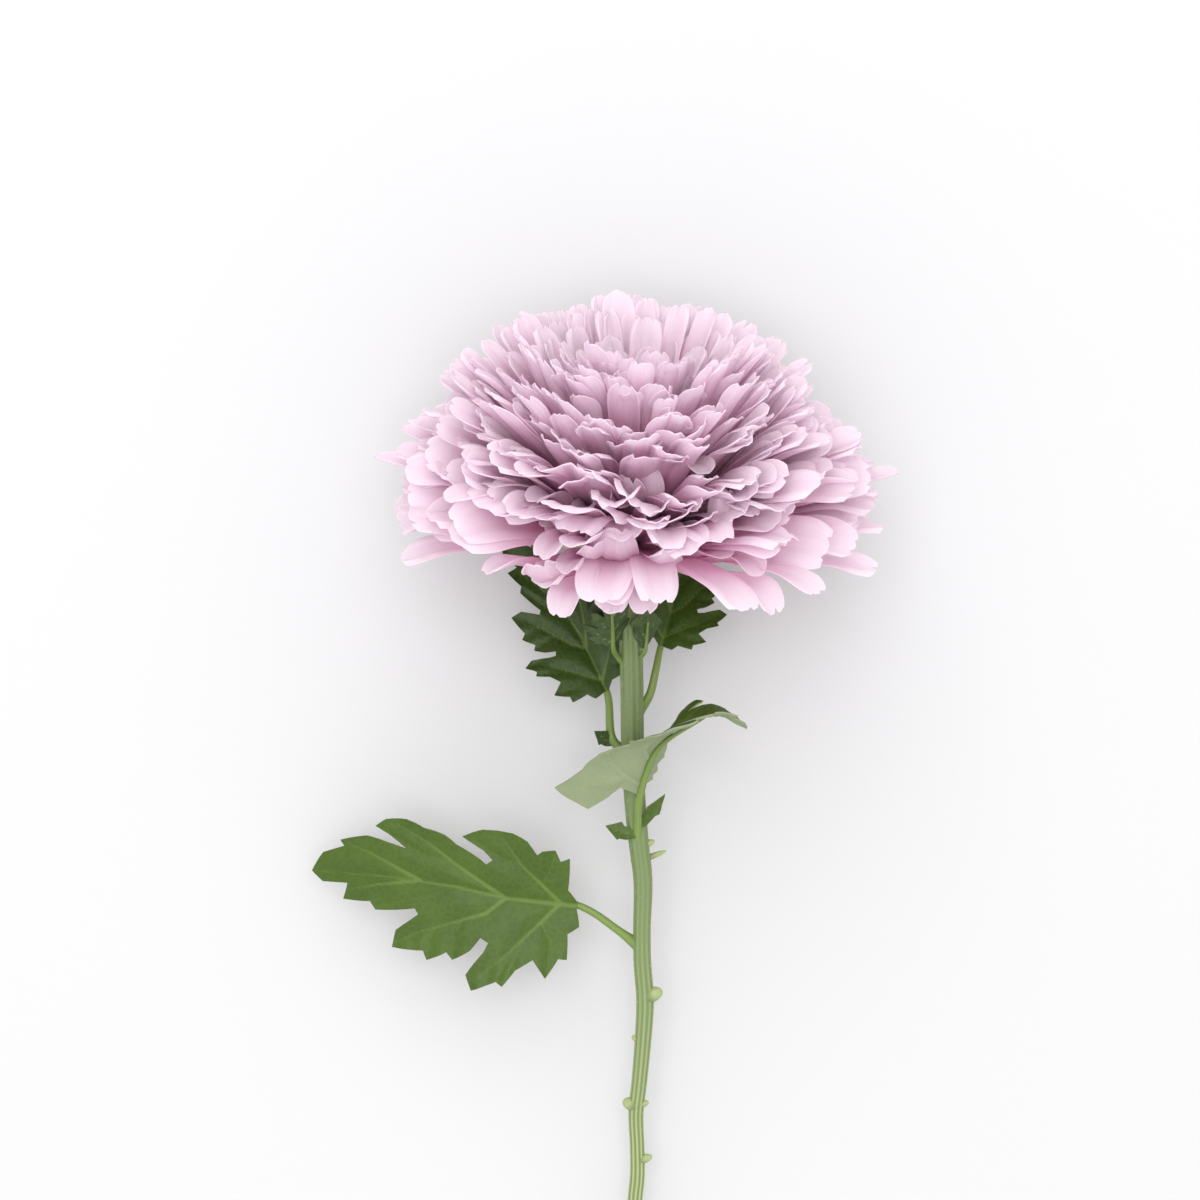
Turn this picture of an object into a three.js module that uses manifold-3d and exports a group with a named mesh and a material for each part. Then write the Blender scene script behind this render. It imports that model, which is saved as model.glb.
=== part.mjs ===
// A cut disbud chrysanthemum, lying on a flat surface: one large pink bloom on a leafy stem.
// Millimetres, +Z up. The surface is z = 0, the stem runs along Y with the bloom at its +Y end, and the
// origin is on the surface under the middle of the flower's length and width.
// The bloom is one body of florets round a small core. The calyx, the stem and each leaf are separate.

import * as THREE from 'three';
import { mergeVertices } from 'three/addons/utils/BufferGeometryUtils.js';
import Module from 'manifold-3d';

const wasm = await Module();
wasm.setup();

const vec = (x, y, z) => new THREE.Vector3(x, y, z);
const radians = THREE.MathUtils.degToRad;

// Driving dimensions. The neck is where the florets meet the calyx, and the other places are given from it.
const NECK = vec(6.5, 79.9, 41);
const NOD = 22; // degrees that the bloom's axis lifts off the surface
const LEAN = 0.05; // how far the bloom's axis leans to +X for each unit along it
const BLOOM_REACH = 65; // from the neck to the outermost floret tips
const SEAT_GAP = 0.3; // between a piece and what carries it
const FINEST_EDGE = 0.06; // joining leaves slivers thinner than this, which are closed up
const PETAL_PINK = 0xe3c4db;
const CALYX_GREEN = 0x6d8a3c;
const STEM_GREEN = 0x8da05f;
const LEAF_GREEN = 0x4c6f2b;

// Solids

// A closed three.js geometry as a solid that can be joined and cut.
function solidOf(geometry) {
  const bare = geometry.clone();
  bare.deleteAttribute('normal');
  bare.deleteAttribute('uv');
  const merged = mergeVertices(bare, 1e-4);
  return new wasm.Manifold(
    new wasm.Mesh({
      numProp: 3,
      vertProperties: new Float32Array(merged.attributes.position.array),
      triVerts: new Uint32Array(merged.index.array),
    }),
  );
}

// The biggest body of a solid: loose scraps are dropped, and hollows that joining sealed are filled.
function wholeBody(solid) {
  const bodies = solid.simplify(FINEST_EDGE).decompose();
  return bodies.reduce((best, body) => (body.volume() > best.volume() ? body : best));
}

function geometryOf(solid) {
  const mesh = solid.getMesh();
  const geometry = new THREE.BufferGeometry();
  geometry.setAttribute('position', new THREE.BufferAttribute(mesh.vertProperties, 3));
  geometry.setIndex(new THREE.BufferAttribute(mesh.triVerts, 1));
  return geometry;
}

// Moves every vertex of a geometry to where place(x, y, z) puts it.
function reshape(geometry, place) {
  const position = geometry.attributes.position;
  for (let i = 0; i < position.count; i += 1) {
    const p = place(position.getX(i), position.getY(i), position.getZ(i));
    position.setXYZ(i, p.x, p.y, p.z);
  }
  return geometry;
}

// Everything on or above the surface that the flower lies on. It leaves small flat spots to rest on.
const aboveSurface = (() => {
  const side = 600;
  return solidOf(new THREE.BoxGeometry(side, side, side).translate(0, 0, side / 2));
})();

// A fixed number from 0 to 1 for floret i and property k, the same on every run.
function draw(i, k) {
  const mixed = Math.sin(i * 12.9898 + k * 78.233) * 43758.5453;
  return mixed - Math.floor(mixed);
}

const spread = (i, k) => 2 * draw(i, k) - 1;

// A smooth step from 0 at low to 1 at high.
function ramp(x, low, high) {
  const t = THREE.MathUtils.clamp((x - low) / (high - low), 0, 1);
  return t * t * (3 - 2 * t);
}

// A value read from [place, value] pairs, straight between them.
function along(pairs, at) {
  const next = pairs.findIndex(([place]) => place >= at);
  if (next === 0) return pairs[0][1];
  if (next < 0) return pairs.at(-1)[1];
  const [[p0, v0], [p1, v1]] = [pairs[next - 1], pairs[next]];
  return v0 + ((v1 - v0) * (at - p0)) / (p1 - p0);
}

// The bloom's own frame

const axis = vec(LEAN, Math.cos(radians(NOD)), Math.sin(radians(NOD))).normalize();
const front = vec(0, -Math.sin(radians(NOD)), Math.cos(radians(NOD)));
front.addScaledVector(axis, -front.dot(axis)).normalize();
const right = vec(0, 0, 0).crossVectors(axis, front);

// The direction out from the bloom's axis at an azimuth: 0 is +X and 90 is up off the surface.
function outward(azimuth) {
  const a = radians(azimuth);
  return vec(0, 0, 0).addScaledVector(right, Math.cos(a)).addScaledVector(front, Math.sin(a));
}

function bloomPoint(azimuth, r, h) {
  return NECK.clone().addScaledVector(outward(azimuth), r).addScaledVector(axis, h);
}

// A body turned about the bloom's axis. The profile gives its radius at heights that only go up.
function turnedSolid(profile) {
  const turned = new THREE.LatheGeometry(profile.map(([r, h]) => new THREE.Vector2(r, h)), 20);
  return solidOf(
    reshape(turned, (x, y, z) =>
      NECK.clone().addScaledVector(right, x).addScaledVector(axis, y).addScaledVector(front, z),
    ),
  );
}

// A height that eases to the surface in place of passing through it, as a pressed petal does.
function pressed(z) {
  const softness = 5;
  const sunk = 0.9;
  return z > softness ? z : softness * Math.exp((z - softness) / softness) - sunk * ramp(-z, -softness, 0);
}

// Florets

const FLORETS = 124;
const GOLDEN_ANGLE = 137.508;
const RECEPTACLE = { radius: 8, height: 4 };
const RIM_RISE = 7; // degrees between the rim's florets and the plane across the bloom's axis
const FRONT_LIFT = 12; // how much more those towards +Z rise
const UNDER_LIFT = 12; // how much more those that the surface presses rise
const CENTRE_RISE = 88;
const CENTRE_HOLLOW = 0.28; // how much shorter the florets are in the middle

// The shape of floret i, from share 0 at the rim of the bloom to 1 at its centre. Angles are in degrees.
function floretForm(i, share) {
  const azimuth = i * GOLDEN_ANGLE;
  const up = Math.sin(radians(azimuth));
  const lowest = RIM_RISE + FRONT_LIFT * ramp(up, -0.1, 0.9) + UNDER_LIFT * ramp(-up, 0.55, 1);
  const hollow = CENTRE_HOLLOW * ramp(share, 0.78, 1);
  return {
    azimuth: azimuth + 5 * spread(i, 2),
    rise: lowest + (CENTRE_RISE - lowest) * share ** 0.9 + (5 - 2 * share) * spread(i, 1),
    length: BLOOM_REACH * (1 - hollow) * (1 + (0.07 - 0.03 * share) * spread(i, 3)),
    halfWidth: 7 - 2.6 * ramp(share, 0, 0.75),
    arch: 12 - 17 * share ** 0.7 + 7 * spread(i, 4),
    cup: 0.3 + 0.15 * share,
  };
}

// The long and hanging florets at the rim, each where it grows out furthest past its neighbours.
const RIM_FLORETS = [
  { azimuth: 99, rise: 11, length: 54, halfWidth: 7, arch: 36, cup: 0.2 },
  { azimuth: 84, rise: 12, length: 55, halfWidth: 5.6, arch: 36, cup: 0.3 },
  { azimuth: 63, rise: 9, length: 57, halfWidth: 6, arch: 20, cup: 0.3 },
  { azimuth: 44, rise: 10, length: 60, halfWidth: 5.6, arch: 16, cup: 0.3 },
  { azimuth: 14, rise: 5, length: 60, halfWidth: 4.6, arch: 8, cup: 0.4 },
  { azimuth: 2, rise: 11, length: 61, halfWidth: 4.8, arch: 8, cup: 0.4 },
  { azimuth: 352, rise: 19, length: 68, halfWidth: 4.2, arch: 4, cup: 0.4 },
  { azimuth: 186, rise: 19, length: 66, halfWidth: 5, arch: 6, cup: 0.3 },
  { azimuth: 170, rise: 1, length: 56, halfWidth: 4.4, arch: 20, cup: 0.4 },
];

// The middle line of a floret, from the receptacle out, as points and directions at even steps.
function floretLine(form) {
  const steps = 24;
  const foot = radians(Math.max(form.rise, 0));
  let r = RECEPTACLE.radius * Math.cos(foot);
  let h = RECEPTACLE.height * Math.sin(foot);
  const stride = (form.length - RECEPTACLE.radius) / steps;
  const line = [{ r, h, slope: radians(form.rise + form.arch) }];
  for (let step = 1; step <= steps; step += 1) {
    const slope = radians(form.rise + form.arch * (1 - (2 * step) / steps));
    r += stride * Math.cos(slope);
    h += stride * Math.sin(slope);
    line.push({ r, h, slope });
  }
  return line;
}

// One floret as a cupped blade of four-cornered sections, whose foot stands inside the bloom's core.
// The claws of the lowest ones show under the bloom, so they start further in.
function floretSolid(form) {
  const thickness = 0.9;
  const foot = form.rise < 24 ? 0.08 : 0.25;
  const rows = [foot, 0.58, 0.84, 1];
  const widths = [0.25 + foot, 0.95, 1, 0.6];
  const line = floretLine(form);
  const side = vec(0, 0, 0).crossVectors(axis, outward(form.azimuth));
  const blade = new THREE.CylinderGeometry(1, 1, rows.length - 1, 4, rows.length - 1);
  const middle = (rows.length - 1) / 2;
  return solidOf(
    reshape(blade, (x, y, z) => {
      const row = Math.round(middle - y);
      const { r, h, slope } = line[Math.round(rows[row] * (line.length - 1))];
      const half = form.halfWidth * widths[row];
      const lift = Math.abs(x) * form.cup * half + (z * thickness) / 2;
      const p = bloomPoint(form.azimuth, r - lift * Math.sin(slope), h + lift * Math.cos(slope));
      p.addScaledVector(side, x * half);
      p.z = pressed(p.z);
      return p;
    }),
  );
}

// The crowded feet of the florets, which the blades stand out of.
const CORE_PROFILE = [
  [0, 0],
  [9, 0],
  [15, 2.2],
  [22, 6],
  [25, 11],
  [23, 18],
  [15, 25],
  [0, 28],
];

function bloomSolid() {
  const forms = [...RIM_FLORETS];
  for (let i = 0; i < FLORETS; i += 1) forms.push(floretForm(i, i / (FLORETS - 1)));
  const fused = wasm.Manifold.union([turnedSolid(CORE_PROFILE), ...forms.map(floretSolid)]);
  return wholeBody(fused.intersect(aboveSurface));
}

// Calyx: the green cup behind the bloom, with two rows of overlapping bracts

const CALYX = { depth: 9, radius: 10, stalk: 3.1 };
const BRACT_ROWS = [
  { count: 7, turn: 4, line: [[6, -6.9], [9.6, -4.6], [12.3, -1.6]] },
  { count: 8, turn: 20, line: [[8.4, -4], [10.8, -2.2], [13.6, -0.6]] },
];

function calyxSolid() {
  const { depth, radius, stalk } = CALYX;
  const cup = turnedSolid([
    [0, -depth],
    [stalk, -depth],
    [radius * 0.6, -depth * 0.8],
    [radius * 0.92, -depth * 0.45],
    [radius, -SEAT_GAP],
    [0, -SEAT_GAP],
  ]);
  const bracts = [];
  for (const { count, turn, line } of BRACT_ROWS) {
    for (let k = 0; k < count; k += 1) bracts.push(bractSolid((360 * k) / count + turn, line));
  }
  return wholeBody(wasm.Manifold.union([cup, ...bracts]));
}

// One bract of the calyx. line gives its foot, middle and tip as distances from the axis and along it.
function bractSolid(azimuth, line) {
  const thickness = 0.8;
  const widths = [1.8, 2.1, 0.6];
  const side = vec(0, 0, 0).crossVectors(axis, outward(azimuth));
  const blade = new THREE.CylinderGeometry(1, 1, 2, 4, 2);
  return solidOf(
    reshape(blade, (x, y, z) => {
      const row = Math.round(1 - y);
      const [r, h] = line[row];
      const p = bloomPoint(azimuth, r - (z * thickness) / 2, h + (z * thickness) / 2);
      return p.addScaledVector(side, x * widths[row]);
    }),
  );
}

// Stem

// The stem's middle line as [across, down] from the neck. It kinks a little at each node.
const STEM_ROUTE = [
  [-0.2, 13],
  [0.3, 23.4],
  [0.6, 35.6],
  [0.7, 46],
  [1.3, 60],
  [2.2, 70],
  [3.3, 80],
  [3.1, 92],
  [3.2, 100],
  [3.9, 110],
  [3.4, 120],
  [2.5, 130.6],
  [1.7, 138.5],
  [2, 146.4],
  [2.1, 154],
  [1.5, 161],
  [1.3, 176],
  [1.8, 194],
  [2.7, 212],
  [3.2, 222.5],
];

// How far the stem's middle lies below the neck: it leaves the calyx at the bloom's nod and straightens out.
function stemDrop(down) {
  const bend = 5.3;
  return 0.1602 * down + 3.4 - 1.3 * Math.exp((8.6 - down) / bend);
}

// The stem's radius at a distance down from the neck.
const STEM_RADII = [
  [8, 3.05],
  [14, 2.8],
  [46, 2.8],
  [60, 2.6],
  [72, 2.45],
  [92, 2.15],
  [110, 2.2],
  [130, 1.95],
  [146, 1.8],
  [160, 1.85],
  [231, 2.05],
];

// Buds and leaf scars on the stem: distance down, azimuth round the stem, length and radius.
const STEM_BUDS = [
  { down: 71.5, round: 5, length: 1.6, radius: 1 },
  { down: 75, round: -10, length: 4.4, radius: 0.75 },
  { down: 109, round: 20, length: 2.6, radius: 1.9 },
  { down: 120, round: 175, length: 0.9, radius: 1 },
  { down: 136.5, round: 170, length: 1.8, radius: 1.7 },
  { down: 136.5, round: 15, length: 1.3, radius: 1 },
  { down: 150.5, round: 25, length: 2.4, radius: 1.2 },
  { down: 172, round: 200, length: 1.4, radius: 1.2 },
  { down: 189, round: -20, length: 1.5, radius: 1.3 },
  { down: 209, round: 140, length: 1.3, radius: 1.2 },
];

const fromNeck = ([x, y, z]) => NECK.clone().add(vec(x, y, z));

// The point of the stem's middle line at a distance down from the neck.
function stemPoint(down) {
  const across = along(STEM_ROUTE.map(([x, place]) => [place, x]), down);
  return fromNeck([across, -down, -stemDrop(down)]);
}

const underNeck = (depth) => NECK.clone().addScaledVector(axis, -depth);
const stemTop = CALYX.depth + SEAT_GAP;
const stemCurve = new THREE.CatmullRomCurve3(
  [underNeck(stemTop), underNeck(stemTop + 1.5), ...STEM_ROUTE.map(([, down]) => stemPoint(down))],
  false,
  'centripetal',
);

// A round rod along a curve, whose radius at share t of its length is radiusAt(t).
function rod(curve, radiusAt, sides, rows) {
  const { normals, binormals } = curve.computeFrenetFrames(rows, false);
  const tube = new THREE.CylinderGeometry(1, 1, rows, sides, rows);
  return solidOf(
    reshape(tube, (x, y, z) => {
      const row = Math.round(rows / 2 - y);
      const t = row / rows;
      const radius = radiusAt(t);
      return curve
        .getPointAt(t)
        .addScaledVector(normals[row], x * radius)
        .addScaledVector(binormals[row], z * radius);
    }),
  );
}

// The bare stem, grown outwards all round by extra.
function stemRod(extra) {
  const [top] = STEM_RADII[0];
  const length = stemCurve.getLength();
  const radiusAt = (t) => along(STEM_RADII, top + t * length) + extra;
  return rod(stemCurve, radiusAt, 10, 34);
}

function stemBud({ down, round, length, radius }) {
  const angle = radians(round);
  const out = vec(Math.cos(angle), 0.35, Math.sin(angle)).normalize();
  const root = stemPoint(down);
  const surface = along(STEM_RADII, down);
  const line = new THREE.LineCurve3(root, root.clone().addScaledVector(out, surface + length));
  return rod(line, (t) => radius * (t < 0.7 ? 1 : 0.45), 6, 4);
}

function stemSolid() {
  const fused = wasm.Manifold.union([stemRod(0), ...STEM_BUDS.map(stemBud)]);
  return wholeBody(fused.intersect(aboveSurface));
}

// Leaves

// The lobed outline of a full leaf: distance along the midrib from the blade's base, and out to each side.
const LEAF_LENGTH = 64.5;
const UPPER_EDGE = [
  [0, 0.8],
  [2.5, 3.5],
  [3, 11],
  [5, 10],
  [6.5, 12.5],
  [9.5, 12],
  [10.5, 11],
  [13, 14],
  [16.5, 15.5],
  [23, 15.5],
  [27.5, 13.2],
  [22.5, 10.6],
  [20.2, 8.6],
  [21.5, 7.4],
  [24, 9],
  [28.8, 11.2],
  [31.5, 13],
  [36.5, 14],
  [40.5, 15.5],
  [45, 15],
  [47.5, 13],
  [44.5, 11.5],
  [40, 8.5],
  [45.5, 9.8],
  [49.5, 10.5],
  [56.5, 8.5],
  [55.5, 7.2],
  [61, 5],
];
const LOWER_EDGE = [
  [61, -2],
  [54.5, -1.5],
  [55, -5.2],
  [48, -4.8],
  [46.5, -6.6],
  [37, -5],
  [36, -6.2],
  [41, -10.5],
  [41.5, -14.6],
  [34, -14.4],
  [33, -16.5],
  [28.5, -14],
  [27, -15.6],
  [23, -12.8],
  [21, -9.6],
  [19.2, -10.5],
  [20, -12.8],
  [23.5, -18.5],
  [21.8, -21.8],
  [16.5, -19],
  [15, -20],
  [12.5, -16],
  [8.8, -13.2],
  [5.5, -17.2],
  [3, -12.4],
  [1, -12.4],
  [1.5, -6.6],
  [-1, -4.6],
  [0, -0.8],
];
const LEAF_EDGE = [...UPPER_EDGE, [LEAF_LENGTH, 0], ...LOWER_EDGE];

// The front leaf's outline: one half is curled in, and the other has a long lobe at the foot of the blade.
const FRONT_LOBE = [
  [19.2, -10.5],
  [16, -14.4],
  [10, -18],
  [4.5, -25.5],
  [0, -23],
  [-3, -19],
  [-6, -14.8],
  [-1.5, -9],
  [2.8, -5.8],
  [0, -0.8],
];
const FRONT_EDGE = [
  ...UPPER_EDGE.map(([a, b]) => [a, b * 0.6]),
  [LEAF_LENGTH, 0],
  ...LOWER_EDGE.slice(0, 15),
  ...FRONT_LOBE,
];

// The small toothed outline of a stipule or a bract leaf, as long as a full leaf before it is sized.
const BRACT_EDGE = [
  [0, 3],
  [16, 17],
  [30, 20],
  [33, 26],
  [46, 15],
  [LEAF_LENGTH, 0],
  [50, -12],
  [36, -25],
  [30, -17],
  [14, -15],
  [0, -3],
];

// The leaves. Each stalk runs from inside the stem to the blade, and each midrib on from there to the tip,
// both measured from the neck. face is where the leaf's upper side looks, and tipFace where it looks at the tip
// if the leaf turns over. fold is how far each half folds up towards that side, breadth widens the outline,
// and flip swaps its two sides.
const LEAVES = [
  {
    name: 'leaf_lower',
    edge: LEAF_EDGE,
    stalk: [
      [3.1, -97, -20],
      [-2.5, -92.5, -17.5],
    ],
    midrib: [
      [-12.8, -86.1, -15.5],
      [-34.8, -83.6, -14.8],
      [-56.8, -81, -19],
      [-78.8, -78.5, -29],
    ],
    face: vec(0.05, -0.1, 1),
    fold: 6,
    breadth: 1,
    flip: true,
    stalkRadius: 1.1,
  },
  {
    name: 'leaf_front',
    edge: FRONT_EDGE,
    stalk: [
      [2.2, -75, -15.5],
      [1.9, -66, -11.5],
    ],
    midrib: [
      [1.9, -58.1, -7.5],
      [3.8, -50.2, -3.5],
      [7.7, -45.1, -0.5],
      [12.5, -41.1, 1.5],
      [20.2, -38.7, 1],
      [28.3, -42, -3],
    ],
    face: vec(-0.61, 0.1, -0.79),
    tipFace: vec(0, 0.98, 0.2),
    fold: 12,
    breadth: 1.35,
    flip: false,
    stalkRadius: 1.3,
  },
  {
    name: 'leaf_left',
    edge: LEAF_EDGE,
    stalk: [
      [0.8, -49.5, -12.6],
      [-4, -45.5, -12],
    ],
    midrib: [
      [-5.6, -33.5, -13.5],
      [-11.9, -21, -16.5],
      [-18, -13, -18.5],
      [-25.6, -4, -21],
      [-31.5, 2, -24],
    ],
    face: vec(0.1, -0.15, 1),
    fold: 10,
    breadth: 1,
    flip: true,
    stalkRadius: 1.2,
  },
  {
    name: 'leaf_right',
    edge: LEAF_EDGE,
    stalk: [
      [0.6, -41, -11],
      [4.8, -34.5, -9.5],
      [6.2, -29, -9.5],
    ],
    midrib: [
      [7.6, -22.5, -10.5],
      [9.2, -17, -12.5],
      [12.4, -7.5, -16.5],
      [14.5, -1.5, -19.5],
      [17.5, 7.5, -24.5],
    ],
    face: vec(-0.1, -0.3, 1),
    fold: 14,
    breadth: 1.15,
    flip: false,
    stalkRadius: 1.2,
  },
  {
    name: 'leaf_neck',
    edge: LEAF_EDGE,
    stalk: [
      [0.4, -29, -8.8],
      [-3.1, -24.8, -5.5],
    ],
    midrib: [
      [-4.2, -22.5, -3.5],
      [-4.4, -15.2, 2],
      [-5, -10.5, 6.5],
    ],
    face: vec(-0.2, 0.3, -0.93),
    fold: 24,
    breadth: 1.4,
    flip: false,
    stalkRadius: 0.9,
  },
  {
    name: 'bract_left',
    edge: BRACT_EDGE,
    stalk: [
      [0.4, -22, -8],
      [-3, -18, -5.2],
    ],
    midrib: [
      [-4.2, -15, -4.6],
      [-7, -11.5, -4],
      [-11, -8.5, -4.4],
    ],
    face: vec(-0.2, 0, 1),
    fold: 12,
    breadth: 1.2,
    flip: false,
    stalkRadius: 0.8,
  },
  {
    name: 'bract_right',
    edge: BRACT_EDGE,
    stalk: [
      [0.6, -28, -8.8],
      [2.9, -24.8, -5],
    ],
    midrib: [
      [3.4, -23, -4.4],
      [4, -18.5, -2],
      [4.4, -13.5, 2.4],
    ],
    face: vec(-0.3, 0.4, -0.9),
    fold: 24,
    breadth: 1,
    flip: false,
    stalkRadius: 0.8,
  },
];

// Stipules: the small leafy ears beside a leaf's foot. Root, tip and face are measured as for the leaves.
const STIPULES = {
  leaf_left: [{ root: [-3.9, -46.6, -12], tip: [-8.6, -43.2, -11], face: vec(0, 0, 1), breadth: 0.9 }],
  leaf_front: [
    { root: [1.5, -69, -12], tip: [-5.9, -66.3, -12], face: vec(0, 0.2, 1), breadth: 0.75 },
    { root: [2.2, -67, -12], tip: [8.6, -58.6, -11.5], face: vec(0.3, -0.2, 1), breadth: 0.45 },
  ],
};

const LEAF_THICKNESS = 0.8;
const LEAF_WAVE = 1.2; // how high a leaf's edges rise and fall

// The frame of a leaf: its length along the midrib curve, and the place of each point of the flat blade.
function leafFrame({ midrib, face, tipFace = face, fold }) {
  const curve = new THREE.CatmullRomCurve3(midrib.map(fromNeck), false, 'centripetal');
  const length = curve.getLength();
  const foldSine = Math.sin(radians(fold));
  const foldCosine = Math.cos(radians(fold));
  const place = (a, b, c) => {
    const t = THREE.MathUtils.clamp(a / length, 0, 1);
    const forward = curve.getTangentAt(t);
    const up = face.clone().lerp(tipFace, ramp(t, 0, 0.5));
    up.addScaledVector(forward, -up.dot(forward)).normalize();
    const across = vec(0, 0, 0).crossVectors(up, forward);
    return curve
      .getPointAt(t)
      .addScaledVector(forward, a - t * length)
      .addScaledVector(across, b * foldCosine)
      .addScaledVector(up, c + Math.abs(b) * foldSine);
  };
  return { length, place };
}

// A thin waved blade cut to an outline, then bent along its midrib. A negative breadth swaps the outline's
// two sides.
function bladeSolid(edge, frame, breadth, wave) {
  const size = frame.length / LEAF_LENGTH;
  const outline = edge.map(([a, b]) => new THREE.Vector2(a * size, b * size * breadth));
  const prism = new THREE.ExtrudeGeometry(new THREE.Shape(outline), { depth: 12, bevelEnabled: false });
  const margin = 2;
  const long = frame.length + 2 * margin;
  const wide = 2 * Math.max(...outline.map(({ y }) => Math.abs(y))) + 2 * margin;
  const slab = new THREE.BoxGeometry(long, wide, LEAF_THICKNESS, 8, 6, 1);
  slab.translate(long / 2 - margin, 0, 0);
  reshape(slab, (a, b, c) => {
    const rise = Math.sin((a * 9) / frame.length) * ((2 * Math.abs(b)) / wide);
    return vec(a, b, c + wave * rise);
  });
  const cut = solidOf(slab).intersect(solidOf(prism.translate(0, 0, -6)));
  return cut.warp((vertex) => {
    const p = frame.place(vertex[0], vertex[1], vertex[2]);
    [vertex[0], vertex[1], vertex[2]] = [p.x, p.y, p.z];
  });
}

// The leaf's stalk and the rib that it goes on as, under the middle of the blade.
function ribSolid(leaf, frame) {
  const ribShare = 0.7;
  const stalk = leaf.stalk.map(fromNeck);
  const rib = [0, ribShare / 2, ribShare].map((t) => frame.place(t * frame.length, 0, -0.3));
  const curve = new THREE.CatmullRomCurve3([...stalk, ...rib], false, 'centripetal');
  return rod(curve, (t) => leaf.stalkRadius * (1 - 0.65 * t), 6, 12);
}

function stipuleSolid({ root, tip, face, breadth }) {
  const frame = leafFrame({ midrib: [root, tip], face, fold: 10 });
  return bladeSolid(BRACT_EDGE, frame, breadth, 0);
}

function leafSolid(leaf) {
  const frame = leafFrame(leaf);
  const parts = [
    bladeSolid(leaf.edge, frame, leaf.flip ? -leaf.breadth : leaf.breadth, LEAF_WAVE),
    ribSolid(leaf, frame),
    ...(STIPULES[leaf.name] ?? []).map(stipuleSolid),
  ];
  const clearance = stemRod(SEAT_GAP);
  return wholeBody(wasm.Manifold.union(parts).subtract(clearance));
}

// The flower

const group = new THREE.Group();

function addPiece(name, solid, color, roughness) {
  const material = new THREE.MeshStandardMaterial({ color, roughness, metalness: 0 });
  const mesh = new THREE.Mesh(geometryOf(solid), material);
  mesh.name = name;
  group.add(mesh);
}

addPiece('bloom', bloomSolid(), PETAL_PINK, 0.6);
addPiece('calyx', calyxSolid(), CALYX_GREEN, 0.6);
addPiece('stem', stemSolid(), STEM_GREEN, 0.55);
for (const leaf of LEAVES) addPiece(leaf.name, leafSolid(leaf), LEAF_GREEN, 0.5);

export default group;
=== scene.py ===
# %% [markdown]
# # A cut disbud chrysanthemum
# A disbud chrysanthemum is grown with a single bud on each stem, so the whole plant's strength goes into one
# very large bloom. This one lies on a pale table and is seen from straight above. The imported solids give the
# place of every part. Each solid is replaced here by a finer one: curled petals with veins, lobed leaves with
# ribs and teeth, and a ribbed, hairy stem.

import math

import bpy
import numpy as np
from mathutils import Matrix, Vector


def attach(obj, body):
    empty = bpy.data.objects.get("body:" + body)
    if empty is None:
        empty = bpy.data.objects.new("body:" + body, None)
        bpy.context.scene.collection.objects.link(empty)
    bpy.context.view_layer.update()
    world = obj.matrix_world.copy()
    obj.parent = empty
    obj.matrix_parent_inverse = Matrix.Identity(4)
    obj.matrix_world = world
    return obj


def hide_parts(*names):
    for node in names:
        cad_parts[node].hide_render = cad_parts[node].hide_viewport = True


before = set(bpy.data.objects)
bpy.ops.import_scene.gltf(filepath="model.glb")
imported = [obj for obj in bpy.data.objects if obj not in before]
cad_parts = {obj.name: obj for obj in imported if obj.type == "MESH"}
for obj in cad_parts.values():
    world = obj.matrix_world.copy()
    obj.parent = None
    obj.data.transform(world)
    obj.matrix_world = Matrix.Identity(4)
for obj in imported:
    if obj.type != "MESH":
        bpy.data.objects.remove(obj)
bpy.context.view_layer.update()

# %% [markdown]
# ## Shared tools
# Everything is worked out in millimetres and turned into Blender's metres when a mesh is placed. Plants look
# natural when no two parts are alike, so each petal draws its own numbers. The draw is fixed by the petal's
# number, which makes the flower the same on every run.

# %% Numbers that vary from petal to petal
MM = 0.001


def ramp(x, low, high):
    """A smooth step from 0 at low to 1 at high."""
    t = np.clip((x - low) / (high - low), 0, 1)
    return t * t * (3 - 2 * t)


def draw(i, k):
    """A fixed number from 0 to 1 for item i and property k."""
    mixed = math.sin(i * 12.9898 + k * 78.233) * 43758.5453
    return mixed - math.floor(mixed)


def spread(i, k):
    """A fixed number from -1 to 1 for item i and property k."""
    return 2 * draw(i, k) - 1


def facts_table(columns, rows):
    """Each row of numbers as a dictionary, with the columns' names as its keys."""
    return [dict(zip(columns.split(), row)) for row in rows]


print("first draws:", [round(draw(i, 1), 2) for i in range(5)])


# %% Selecting, moving and joining meshes
def pick(*objects):
    """Selects only these objects and makes the first one active."""
    bpy.ops.object.select_all(action="DESELECT")
    for obj in objects:
        obj.select_set(True)
    bpy.context.view_layer.objects.active = objects[0]


def coordinates(obj):
    """The mesh's points as rows of x, y, z."""
    mesh = obj.data
    flat = np.empty(len(mesh.vertices) * 3)
    mesh.vertices.foreach_get("co", flat)
    return flat.reshape(-1, 3)


def set_coordinates(mesh, points):
    mesh.vertices.foreach_set("co", np.asarray(points, dtype=np.float64).ravel())
    mesh.update()


def set_attribute(mesh, name, values):
    """Stores one number per point, for the materials to read."""
    attribute = mesh.attributes.new(name, "FLOAT", "POINT")
    attribute.data.foreach_set("value", np.asarray(values, dtype=np.float64).ravel())


def add_grid(name, columns, rows):
    """A flat square grid from -1 to 1, cut into this many columns and rows."""
    bpy.ops.object.select_all(action="DESELECT")
    bpy.ops.mesh.primitive_grid_add(x_subdivisions=columns, y_subdivisions=rows, size=2)
    grid = bpy.context.object
    grid.name = name
    return grid


def apply_modifier(obj, kind, **settings):
    pick(obj)
    modifier = obj.modifiers.new(kind.title(), kind)
    for key, value in settings.items():
        setattr(modifier, key, value)
    bpy.ops.object.modifier_apply(modifier=modifier.name)


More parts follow.
